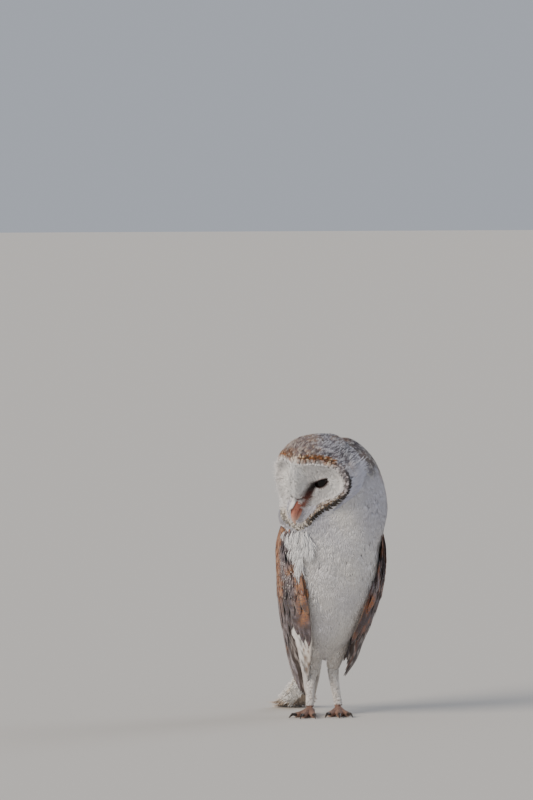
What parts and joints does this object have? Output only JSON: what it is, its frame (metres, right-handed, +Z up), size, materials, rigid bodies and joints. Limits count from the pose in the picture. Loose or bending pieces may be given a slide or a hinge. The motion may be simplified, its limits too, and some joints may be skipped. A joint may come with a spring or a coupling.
{
  "type": "standing barn owl figure",
  "caption": "Life-size figure of a barn owl standing upright with folded wings and its heart-shaped face turned to its right, in pieces per body part.",
  "frame": {"origin": "On the floor, at the middle of the bounding box's footprint.", "axes": "+Z is up, from the feet to the crown. The breast faces -Y, the tail lies towards +Y and the bird's left wing is at +X. The face is turned 53 degrees to the bird's right."},
  "size_m": [0.1346, 0.1765, 0.3378],
  "materials": {
    "plumage_white": "Soft white breast, leg and tail feathers, matt.",
    "plumage_grey": "Soft grey and buff feathers with small pale and dark spots, matt.",
    "plumage_face": "Fine white disc feathers inside an orange-brown ruff, matt.",
    "plumage_buff": "Golden buff wing feathers with grey bars and small spots, matt.",
    "eye": "Wet, nearly black eye, glossy.",
    "bill": "Salmon-pink horn, smooth with a soft shine.",
    "toe_skin": "Bare, scaly pinkish-brown skin.",
    "claw": "Dark horn, smooth, with a soft shine."
  },
  "bodies": {
    "root": {"torso": "plumage_white", "neck": "plumage_grey", "head": "plumage_face", "eye_left": "eye", "eye_right": "eye", "bill_upper": "bill", "bill_lower": "bill", "tail": "plumage_white", "wing_left": "plumage_buff", "thigh_left": "plumage_white", "tarsus_left": "plumage_white", "foot_left": "toe_skin", "claw_inner_left": "claw", "claw_middle_left": "claw", "claw_outer_left": "claw", "claw_hind_left": "claw", "wing_right": "plumage_buff", "thigh_right": "plumage_white", "tarsus_right": "plumage_white", "foot_right": "toe_skin", "claw_inner_right": "claw", "claw_middle_right": "claw", "claw_outer_right": "claw", "claw_hind_right": "claw"}
  },
  "joints": []
}
